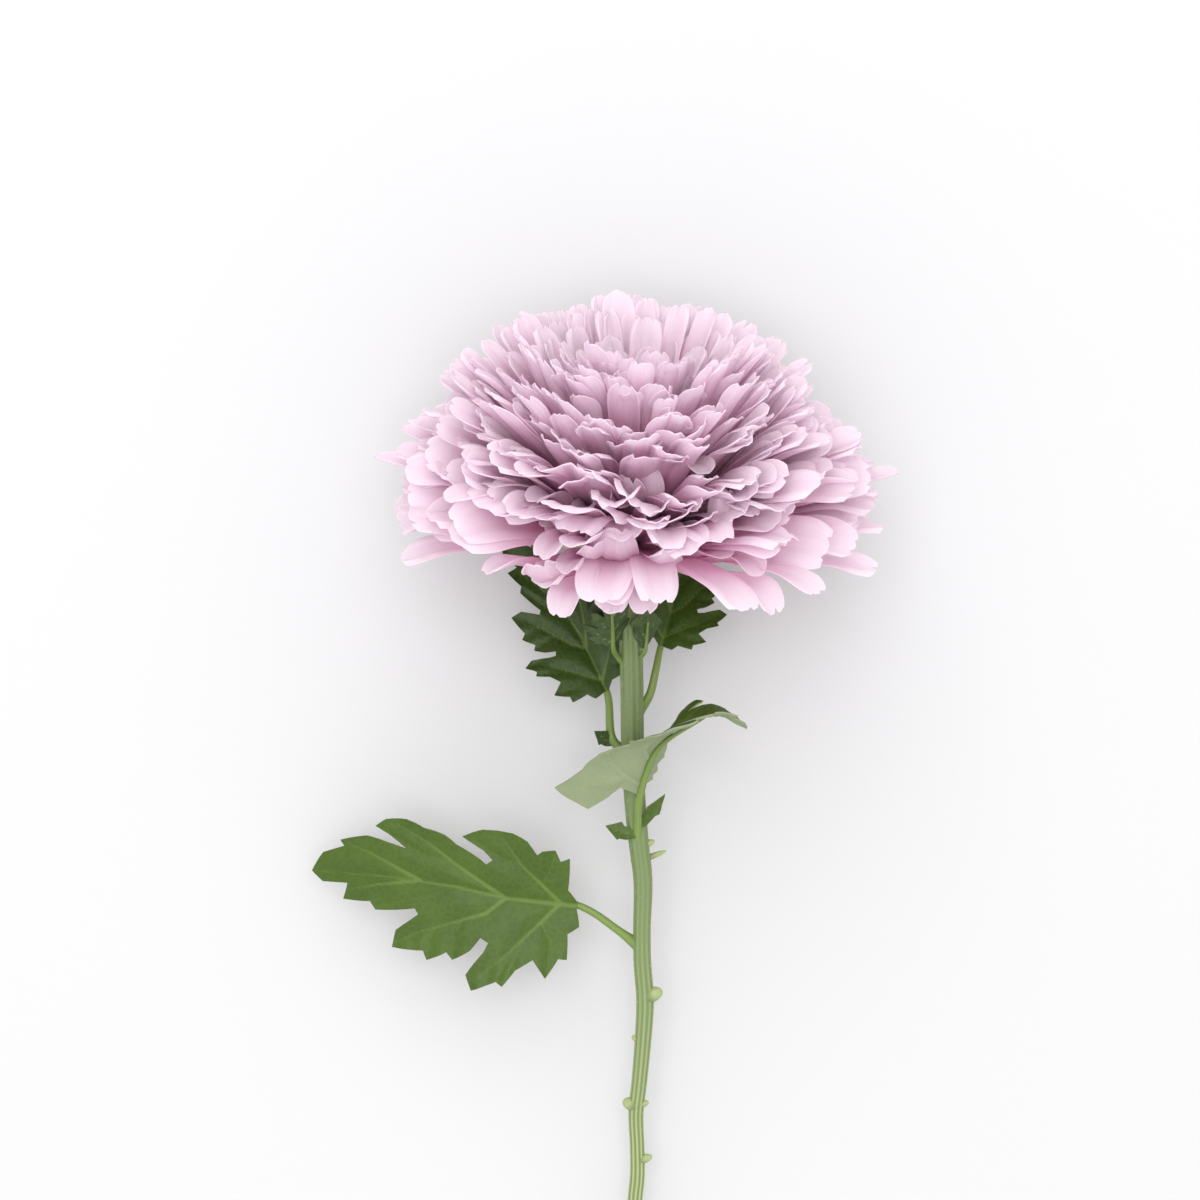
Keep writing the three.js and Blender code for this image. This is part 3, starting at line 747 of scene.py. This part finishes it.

# %% [markdown]
# ## Leaves
# Each leaf is cut flat, given its relief, and then bent along its midrib. The ribs are sunk above and stand
# out below, and the blade swells between them. The bend uses the same lines as the solids do, so the finished
# leaf lies where the solid lies.

# %% Where the leaves grow
# Stalks and midribs are measured from the neck. face is where the upper side looks, and tip_face where it
# looks at the tip of a leaf that turns over. fold is how far the halves fold up towards that side.
# shade is painted shade: how far a leaf's colour is darkened because it lies under the bloom.
LEAVES = {
    "leaf_lower": {
        "edge": LEAF_EDGE,
        "stalk": [(3.1, -97, -20), (-2.5, -92.5, -17.5)],
        "midrib": [(-12.8, -86.1, -15.5), (-34.8, -83.6, -14.8), (-56.8, -81, -19), (-78.8, -78.5, -29)],
        "face": (0.05, -0.1, 1),
        "fold": 6,
        "breadth": -1,
        "stalk_radius": 1.1,
        "shade": 0.0,
    },
    "leaf_front": {
        "edge": FRONT_EDGE,
        "stalk": [(2.2, -75, -15.5), (1.9, -66, -11.5)],
        "midrib": [(1.9, -58.1, -7.5), (3.8, -50.2, -3.5), (7.7, -45.1, -0.5), (12.5, -41.1, 1.5),
                   (20.2, -38.7, 1), (28.3, -42, -3)],
        "face": (-0.61, 0.1, -0.79),
        "tip_face": (0, 0.98, 0.2),
        "fold": 12,
        "breadth": 1.35,
        "stalk_radius": 1.3,
        "shade": 0.0,
    },
    "leaf_left": {
        "edge": LEAF_EDGE,
        "stalk": [(0.8, -49.5, -12.6), (-4, -45.5, -12)],
        "midrib": [(-5.6, -33.5, -13.5), (-11.9, -21, -16.5), (-18, -13, -18.5), (-25.6, -4, -21),
                   (-31.5, 2, -24)],
        "face": (0.1, -0.15, 1),
        "fold": 10,
        "breadth": -1,
        "stalk_radius": 1.2,
        "shade": 0.75,
    },
    "leaf_right": {
        "edge": LEAF_EDGE,
        "stalk": [(0.6, -41, -11), (4.8, -34.5, -9.5), (6.2, -29, -9.5)],
        "midrib": [(7.6, -22.5, -10.5), (9.2, -17, -12.5), (12.4, -7.5, -16.5), (14.5, -1.5, -19.5),
                   (17.5, 7.5, -24.5)],
        "face": (-0.1, -0.3, 1),
        "fold": 14,
        "breadth": 1.15,
        "stalk_radius": 1.2,
        "shade": 0.5,
    },
    "leaf_neck": {
        "edge": LEAF_EDGE,
        "stalk": [(0.4, -29, -8.8), (-3.1, -24.8, -5.5)],
        "midrib": [(-4.2, -22.5, -3.5), (-4.4, -15.2, 2), (-5, -10.5, 6.5)],
        "face": (-0.2, 0.3, -0.93),
        "fold": 24,
        "breadth": 1.4,
        "stalk_radius": 0.9,
        "shade": 1.0,
    },
    "bract_left": {
        "edge": BRACT_EDGE,
        "stalk": [(0.4, -22, -8), (-3, -18, -5.2)],
        "midrib": [(-4.2, -15, -4.6), (-7, -11.5, -4), (-11, -8.5, -4.4)],
        "face": (-0.2, 0, 1),
        "fold": 12,
        "breadth": 1.2,
        "stalk_radius": 0.8,
        "shade": 1.0,
    },
    "bract_right": {
        "edge": BRACT_EDGE,
        "stalk": [(0.6, -28, -8.8), (2.9, -24.8, -5)],
        "midrib": [(3.4, -23, -4.4), (4, -18.5, -2), (4.4, -13.5, 2.4)],
        "face": (-0.3, 0.4, -0.9),
        "fold": 24,
        "breadth": 1,
        "stalk_radius": 0.8,
        "shade": 1.0,
    },
}

# Stipules are the small leafy ears beside a leaf's foot.
STIPULES = {
    "leaf_left": [{"root": (-3.9, -46.6, -12), "tip": (-8.6, -43.2, -11), "face": (0, 0, 1), "breadth": 0.9}],
    "leaf_front": [
        {"root": (1.5, -69, -12), "tip": (-5.9, -66.3, -12), "face": (0, 0.2, 1), "breadth": 0.75},
        {"root": (2.2, -67, -12), "tip": (8.6, -58.6, -11.5), "face": (0.3, -0.2, 1), "breadth": 0.45},
    ],
}
print("leaves:", len(LEAVES), "ears:", sum(len(ears) for ears in STIPULES.values()))


# %% Bend a flat leaf along its midrib
def bend_leaf(points, line, leaf):
    """points are along the leaf, across it and off its upper face."""
    face = np.array(leaf["face"], dtype=float)
    tip_face = np.array(leaf.get("tip_face", leaf["face"]), dtype=float)
    a, b, c = points.T
    inside = np.clip(a, 0, line["length"])
    centre, forward = on_line(line, inside)
    turn = ramp(inside / line["length"], 0, 0.5)[:, None]
    up = face * (1 - turn) + tip_face * turn
    up = up - forward * (up * forward).sum(1)[:, None]
    up /= np.linalg.norm(up, axis=1)[:, None]
    across = np.cross(up, forward)
    folded = math.radians(leaf["fold"])
    return (
        centre
        + forward * (a - inside)[:, None]
        + across * (b * math.cos(folded))[:, None]
        + up * (c + np.abs(b) * math.sin(folded))[:, None]
    )


SWELL_HEIGHT = 0.55
RIB_GROOVE = 0.25
RIB_UNDER = 0.55
SIDE_RIB_WIDTH = 0.4


def make_blade(name, line, leaf, wave):
    """One leaf blade in its place, with its relief and the strength of its ribs stored for the material."""
    size = line["length"] / LEAF_LENGTH
    breadth = leaf["breadth"]
    outline = swollen(leaf["edge"]) * size
    blade = cut_sheet(name, outline * (1, abs(breadth)))
    flat = coordinates(blade)
    upper = flat[:, 2] > 0
    home = flat[:, :2] / size / (1, abs(breadth))

    gap, share = distance_to(home, RIBS)
    small_gap, _ = distance_to(home, SIDE_RIBS)
    width = 0.6 - 0.3 * share
    main = np.exp(-((gap / width) ** 2)) * (1 - 0.5 * share)
    side = 0.4 * np.exp(-((small_gap / SIDE_RIB_WIDTH) ** 2))
    rib = np.maximum(main, side)
    swell = 1 - np.exp(-((np.minimum(gap, small_gap * 1.3) / 2.6) ** 2))
    relief = SWELL_HEIGHT * swell - RIB_GROOVE * rib
    relief = relief - np.where(upper, 0, RIB_UNDER * main)

    wide = 2 * np.abs(outline[:, 1] * breadth).max() + 4
    edges = np.abs(flat[:, 1]) / (wide / 2)
    sway = wave * np.sin(flat[:, 0] * 9 / line["length"]) * edges
    ripple = 0.35 * np.sin(flat[:, 0] * 1.3 + 2 * np.sign(flat[:, 1])) * ramp(edges, 0.3, 1)
    points = flat.copy()
    points[:, 1] *= np.sign(breadth)
    strength = min(size * 1.4, 1)
    points[:, 2] += relief * strength + sway + ripple * strength
    set_coordinates(blade.data, bend_leaf(points, line, leaf))
    set_attribute(blade.data, "rib", rib)
    set_attribute(blade.data, "shade", np.full(len(rib), leaf["shade"]))
    blade.data.materials.clear()
    blade.data.materials.append(leaf_upper)
    blade.data.materials.append(leaf_under)
    for part in blade.data.polygons:
        part.material_index = 0 if all(upper[v] for v in part.vertices) else 1
    if breadth < 0:
        pick(blade)
        bpy.ops.object.mode_set(mode="EDIT")
        bpy.ops.mesh.select_all(action="SELECT")
        bpy.ops.mesh.flip_normals()
        bpy.ops.object.mode_set(mode="OBJECT")
    return blade


# %% Leaf, stalk and stem finishes
LIGHT_THROUGH_LEAF = 0.12


def leaf_material(name, blade, painted_shade_green, patch, rib, roughness, rib_share):
    """A leaf's skin: cells a fraction of a millimetre wide under a thin wax, with a net of fine veins."""
    material, tree = new_material(name)
    where = add_node(tree, "ShaderNodeTexCoord").outputs["Object"]
    clouds = add_node(tree, "ShaderNodeTexNoise", {"Scale": 110, "Detail": 3}, {"Vector": where})
    net_settings = {"feature": "DISTANCE_TO_EDGE", "Scale": 520}
    net = add_node(tree, "ShaderNodeTexVoronoi", net_settings, {"Vector": where})
    rib_mark = add_node(tree, "ShaderNodeAttribute", {"attribute_name": "rib"}).outputs["Fac"]
    shade = add_node(tree, "ShaderNodeAttribute", {"attribute_name": "shade"}).outputs["Fac"]

    fresh = blend_colours(tree, fade(tree, clouds.outputs[0], 0.35, 0.7, 0, 0.5), blade, patch)
    # The shade attribute blends a whole leaf towards a darker green: painted shade for the leaves that lie
    # under the bloom.
    painted_shade_mix = blend_colours(tree, shade, fresh, painted_shade_green)
    netted = blend_colours(tree, fade(tree, net.outputs[0], 0, 0.2, 0.06, 0), painted_shade_mix, rib)
    ribbed = blend_colours(tree, fade(tree, rib_mark, 0.15, 0.9, 0, rib_share), netted, rib)

    grain = add_node(tree, "ShaderNodeTexNoise", {"Scale": 2500, "Detail": 2}, {"Vector": where})
    cells = add_bump(tree, grain.outputs[0], 0.3, 0.0001)
    pillows = add_bump(tree, fade(tree, net.outputs[0], 0, 0.3), 0.2, 0.0002, {"Normal": cells})
    skin = add_node(
        tree,
        "ShaderNodeBsdfPrincipled",
        {"Roughness": roughness, "IOR": 1.38},
        {"Base Color": ribbed, "Normal": pillows},
    )
    through = add_node(tree, "ShaderNodeBsdfTranslucent", links={"Color": ribbed})
    faces = {1: skin.outputs[0], 2: through.outputs[0]}
    both = add_node(tree, "ShaderNodeMixShader", {0: LIGHT_THROUGH_LEAF}, faces)
    return finish_material(material, both)


def stalk_material(name, groove, crest, low):
    """A green stalk. Its ribs are paler and the furrows between them darker."""
    material, tree = new_material(name)
    uv = add_node(tree, "ShaderNodeUVMap", {"uv_map": "UVMap"})
    stretch = add_node(tree, "ShaderNodeMapping", {"Scale": (30, 6, 1)}, {0: uv.outputs[0]})
    streaks = add_node(tree, "ShaderNodeTexNoise", {"Scale": 1, "Detail": 4}, {"Vector": stretch.outputs[0]})
    rib_mark = add_node(tree, "ShaderNodeAttribute", {"attribute_name": "rib"}).outputs["Fac"]
    along = add_node(tree, "ShaderNodeSeparateXYZ", links={0: uv.outputs[0]}).outputs[1]
    fresh = blend_colours(tree, fade(tree, along, 0.25, 0.75), low, crest)
    ribbed = blend_colours(tree, fade(tree, rib_mark, 0.1, 0.9), groove, fresh)
    streaked = blend_colours(tree, fade(tree, streaks.outputs[0], 0.4, 0.7, 0, 0.35), ribbed, groove)
    furrows = add_bump(tree, streaks.outputs[0], 0.4, 0.0002)
    skin = add_node(
        tree,
        "ShaderNodeBsdfPrincipled",
        {"Roughness": 0.5, "IOR": 1.45},
        {"Base Color": streaked, "Normal": furrows},
    )
    return finish_material(material, skin)


leaf_upper = leaf_material("leaf_waxy_upper_face", "#3c5313", "#253b10", "#486118", "#748c42", 0.48, 0.4)
leaf_under = leaf_material("leaf_dull_under_face", "#848f6d", "#3a4c26", "#8f997a", "#9da984", 0.65, 0.5)
stalk_green = stalk_material("stalk_ribbed_green", "#48602a", "#6a7f3c", "#70853f")
stem_green = stalk_material("stem_ribbed_green", "#66774a", "#9ca672", "#66774a")
print("green finishes:", [m.name for m in (leaf_upper, leaf_under, stalk_green, stem_green)])


# %% Make the leaves
LEAF_WAVE = 1.2
EAR_FOLD = 10
RIB_DEPTH = 1.1


def at_neck(point):
    return NECK + np.array(point, dtype=float)


def make_stalk(name, leaf, line):
    """The stalk, and the rib that it goes on as under the middle of the blade."""
    spots = np.array([[share * line["length"], 0, share - RIB_DEPTH] for share in (0, 0.35, 0.7)])
    rib = bend_leaf(spots, line, leaf)
    route = smooth_line([*(at_neck(p) for p in leaf["stalk"]), *rib])

    def radius_at(share):
        """It thins towards the tip, and flares where it leaves the stem."""
        return leaf["stalk_radius"] * (1 - 0.7 * share) * (1 + 0.5 * ramp(-share, -0.12, 0))

    tube = roll_tube(name, route, radius_at, 40, 14)
    tube.data.materials.append(stalk_green)
    return tube


def make_leaf(name, leaf):
    """A blade, its stipules and its stalk, joined into one piece."""
    line = smooth_line([at_neck(p) for p in leaf["midrib"]])
    blades = [make_blade(f"{name}_blade", line, leaf, LEAF_WAVE)]
    for k, ear in enumerate(STIPULES.get(name, [])):
        ear_line = smooth_line([at_neck(ear["root"]), at_neck(ear["tip"])])
        ear_facts = {**ear, "edge": BRACT_EDGE, "fold": EAR_FOLD, "shade": leaf["shade"]}
        blades.append(make_blade(f"{name}_ear_{k}", ear_line, ear_facts, 0))
    piece = join([*blades, make_stalk(f"{name}_stalk", leaf, line)], f"{name}_fine")
    set_coordinates(piece.data, coordinates(piece) * MM)
    smooth(piece)
    place(piece, "leaves", name)


for leaf_name, leaf_facts in LEAVES.items():
    make_leaf(leaf_name, leaf_facts)

# %% [markdown]
# ## Stem
# The stem has about ten ribs that run its whole length, a small kink and a scar or bud at each place where a
# leaf grew, and short hairs. It thins away from the bloom and then keeps its thickness.

# %% Roll the stem and set its buds
# Each pair of the route is how far across the stem's middle lies, and how far down from the neck that is.
# Each pair of the radii is a distance down and the radius there. Buds are set by their turn round the stem.
STEM_ROUTE = [
    (-0.2, 13), (0.3, 23.4), (0.6, 35.6), (0.7, 46), (1.3, 60), (2.2, 70), (3.3, 80), (3.1, 92), (3.2, 100),
    (3.9, 110), (3.4, 120), (2.5, 130.6), (1.7, 138.5), (2, 146.4), (2.1, 154), (1.5, 161), (1.3, 176),
    (1.8, 194), (2.7, 212), (3.2, 222.5),
]
STEM_RADII = [
    (8, 3.05), (14, 2.8), (46, 2.8), (60, 2.6), (72, 2.45), (92, 2.15), (110, 2.2), (130, 1.95), (146, 1.8),
    (160, 1.85), (231, 2.05),
]
STEM_BUDS = facts_table("down round length radius", [
    (71.5, 5, 1.6, 1),
    (75, -10, 4.4, 0.75),
    (109, 20, 2.6, 1.9),
    (120, 175, 0.9, 1),
    (136.5, 170, 1.8, 1.7),
    (136.5, 15, 1.3, 1),
    (150.5, 25, 2.4, 1.2),
    (172, 200, 1.4, 1.2),
    (189, -20, 1.5, 1.3),
    (209, 140, 1.3, 1.2),
])
CALYX_DEPTH = 9.0
SEAT_GAP = 0.3
STEM_DROP = {"slope": 0.1602, "start": 3.4, "bend": 1.3, "bend_top": 8.6, "bend_length": 5.3}


def read_pairs(pairs, at):
    """The value at a place between the rows of a table of places and values."""
    places, values = zip(*pairs)
    return np.interp(at, places, values)


def stem_point(down):
    """The stem's middle at a distance down from the neck. It leaves the calyx at the bloom's nod."""
    across = read_pairs([(route_down, x) for x, route_down in STEM_ROUTE], down)
    bend = STEM_DROP["bend"] * math.exp((STEM_DROP["bend_top"] - down) / STEM_DROP["bend_length"])
    drop = STEM_DROP["slope"] * down + STEM_DROP["start"] - bend
    return at_neck((across, -down, -drop))


stem_top = CALYX_DEPTH + SEAT_GAP
stem_line = smooth_line(
    [NECK - axis * stem_top, NECK - axis * (stem_top + 1.5), *(stem_point(down) for _, down in STEM_ROUTE)]
)


def stem_radius(share):
    return read_pairs(STEM_RADII, STEM_RADII[0][0] + share * stem_line["length"])


def make_bud(k, bud):
    """A bud or leaf scar: a short swelling that narrows to a blunt point."""
    angle = math.radians(bud["round"])
    out = unit(np.array([math.cos(angle), 0.35, math.sin(angle)]))
    root = stem_point(bud["down"])
    surface = float(read_pairs(STEM_RADII, bud["down"]))
    line = smooth_line([root, root + out * (surface + bud["length"])])

    def radius_at(share):
        return bud["radius"] * (1.15 - 0.3 * share) * np.sqrt(np.clip(1.02 - share**4, 0, 1))

    tube = roll_tube(f"bud_{k}", line, radius_at, 14, 16)
    tube.data.materials.append(stem_green)
    return tube


print("stem length in mm:", round(stem_line["length"], 1), "buds and scars:", len(STEM_BUDS))


# %% Set hairs on the stem
HAIR_COUNT = 900
HAIR_LENGTH = 0.8
HAIR_RADIUS = 0.035
HAIR_SINK = 0.05
HAIR_LEAN = 0.4
SHORTEST_HAIR = 0.6


def hair_material():
    """Plant hair: a clear dead cell, so it looks pale against the green."""
    material, tree = new_material("stem_clear_hair")
    skin = add_node(tree, "ShaderNodeBsdfPrincipled", {"Base Color": colour("#cdd3b4"), "Roughness": 0.4})
    return finish_material(material, skin)


def make_hair(k, blank):
    """One hair: a copy of the cone that stands on the stem's skin at its own place and lean."""
    share = draw(k, 31)
    turn = math.tau * draw(k, 32)
    point, way = on_line(stem_line, share * stem_line["length"])
    level = unit(np.cross(way, (0, 0, 1)))
    out = level * math.cos(turn) + np.cross(way, level) * math.sin(turn)
    tilt = unit(out + way * HAIR_LEAN * spread(k, 33))
    side = unit(np.cross(tilt, way))
    stretch = SHORTEST_HAIR + (1 - SHORTEST_HAIR) * draw(k, 34)
    x, y, z = (coordinates(blank) * (1, 1, stretch)).T[:, :, None]
    foot = point + out * (float(stem_radius(share)) - HAIR_SINK)
    mesh = blank.data.copy()
    set_coordinates(mesh, foot + side * x + np.cross(tilt, side) * y + tilt * (z + HAIR_LENGTH / 2))
    hair = bpy.data.objects.new(f"hair_{k}", mesh)
    bpy.context.scene.collection.objects.link(hair)
    return hair


bpy.ops.object.select_all(action="DESELECT")
bpy.ops.mesh.primitive_cone_add(vertices=3, radius1=HAIR_RADIUS, radius2=0, depth=HAIR_LENGTH)
hair_blank = bpy.context.object
hair_blank.data.materials.append(hair_material())
print("hairs on the stem:", HAIR_COUNT)

# %% Join the stem
STEM_RIBS = 10
STEM_RIB_HEIGHT = 0.045
LOWEST_STEM = 0.02

stem = roll_tube("stem_rod", stem_line, stem_radius, 160, 80, STEM_RIBS, STEM_RIB_HEIGHT)
stem.data.materials.append(stem_green)
stem = join([stem, *(make_bud(k, bud) for k, bud in enumerate(STEM_BUDS))], "stem_fine")
stem = join([stem, *(make_hair(k, hair_blank) for k in range(HAIR_COUNT))], "stem_fine")
bpy.data.objects.remove(hair_blank)
points = coordinates(stem)
points[:, 2] = np.maximum(points[:, 2], LOWEST_STEM)
set_coordinates(stem.data, points * MM)
smooth(stem)
place(stem, "stem", "stem")

# %% [markdown]
# ## Calyx
# Behind the petals sits a green cup covered with overlapping bracts, like the scales of a cone. Their edges
# are dry and brownish.

# %% Turn the cup and lay its bracts
CALYX_PROFILE = [(0, 3.1), (0.2, 6.2), (0.55, 9.3), (0.85, 10.3), (1, 9.6)]
BRACT_ROWS = [
    {"count": 9, "turn": 4, "line": [(5.6, -7.6), (9.0, -5.4), (11.4, -2.9)], "half": 2.3},
    {"count": 11, "turn": 20, "line": [(8.0, -5.4), (10.9, -3.1), (13.0, -1.2)], "half": 2.4},
    {"count": 13, "turn": 8, "line": [(9.6, -3.2), (11.6, -1.4), (13.6, -0.2)], "half": 2.3},
]
BRACT_WALL = 0.45


def make_bract(azimuth, facts):
    """A bract: a small grid narrowed to a rounded tip, cupped, and laid along the cup's side."""
    bract = add_grid("bract", 6, 8)
    flat = coordinates(bract)
    x = flat[:, 0]
    along = (flat[:, 1] + 1) / 2
    radius = np.interp(along, [0, 0.5, 1], [r for r, _ in facts["line"]])
    height = np.interp(along, [0, 0.5, 1], [h for _, h in facts["line"]])
    half = facts["half"] * np.sqrt(np.clip(1.02 - along**3, 0, 1)) * (0.75 + 0.25 * along)
    out = outward(azimuth)
    side = np.cross(axis, out)
    drop = 0.12 * (x * half) ** 2
    points = NECK + out * (radius - drop)[:, None] + axis * (height - 0.3 * drop)[:, None]
    set_coordinates(bract.data, points + side * (x * half)[:, None])
    set_attribute(bract.data, "rib", 1 - np.clip(np.abs(x) ** 3 + along**6, 0, 1))
    apply_modifier(bract, "SOLIDIFY", thickness=BRACT_WALL, offset=0)
    bract.data.materials.append(calyx_green)
    return bract


calyx_green = stalk_material("calyx_dry_edged_green", "#7d7a4a", "#6f8a42", "#6f8a42")
cup_line = smooth_line([NECK - axis * CALYX_DEPTH, NECK - axis * SEAT_GAP])
cup = roll_tube("cup", cup_line, lambda s: np.interp(s, *zip(*CALYX_PROFILE)), 14, 40)
cup.data.materials.append(calyx_green)
bracts = [
    make_bract(360 * k / row["count"] + row["turn"], row) for row in BRACT_ROWS for k in range(row["count"])
]
calyx = join([cup, *bracts], "calyx_fine")
set_coordinates(calyx.data, coordinates(calyx) * MM)
smooth(calyx)
place(calyx, "calyx", "calyx")

# %% [markdown]
# ## Table, camera and light
# The flower lies down, so the camera looks straight down on it, as if a photographer stood on a ladder. A
# big soft light stands past the bloom's far side and a second one above, and a bright room fills the rest.


# %% Table
def table_material():
    """Matt painted board: nearly white, with no gloss."""
    material, tree = new_material("table_matt_paint")
    paint = add_node(tree, "ShaderNodeBsdfPrincipled", {"Base Color": colour("#c1c1c2"), "Roughness": 0.9})
    return finish_material(material, paint)


TABLE_WIDTH = 6

bpy.ops.object.select_all(action="DESELECT")
bpy.ops.mesh.primitive_plane_add(size=TABLE_WIDTH, location=(0, 0, 0))
table = bpy.context.object
table.name = "table"
table.data.materials.append(table_material())
print("table width in m:", TABLE_WIDTH)

# %% Camera
CAMERA_PLACE = (-0.0007, 0.0686, 0.841)
LENS_MM = 100
SENSOR_MM = 36

camera_data = bpy.data.cameras.new("camera")
camera_data.lens = LENS_MM
camera_data.sensor_width = SENSOR_MM
camera = bpy.data.objects.new("camera", camera_data)
camera.location = CAMERA_PLACE
bpy.context.scene.collection.objects.link(camera)
bpy.context.scene.camera = camera
bpy.context.scene.view_settings.view_transform = "Standard"
print("camera height in m:", CAMERA_PLACE[2], "lens in mm:", LENS_MM)


# %% Lights
def soft_light(name, location, target, size, power):
    data = bpy.data.lights.new(name, "AREA")
    data.size = size
    data.energy = power
    light = bpy.data.objects.new(name, data)
    light.location = location
    aim = Vector(target) - Vector(location)
    light.rotation_euler = aim.to_track_quat("-Z", "Y").to_euler()
    bpy.context.scene.collection.objects.link(light)
    print(f"{name}: {size} m wide, {power} W")


BLOOM_MIDDLE = (0.005, 0.1, 0.04)
ROOM_COLOUR = (1, 1, 1, 1)
ROOM_STRENGTH = 1.3

soft_light("far_light", (-0.15, 0.9, 0.8), BLOOM_MIDDLE, size=0.9, power=3)
soft_light("high_light", (-0.05, 0.12, 1.2), BLOOM_MIDDLE, size=0.7, power=7)

world = bpy.data.worlds.new("room")
world.use_nodes = True
background = world.node_tree.nodes["Background"]
background.inputs["Color"].default_value = ROOM_COLOUR
background.inputs["Strength"].default_value = ROOM_STRENGTH
bpy.context.scene.world = world
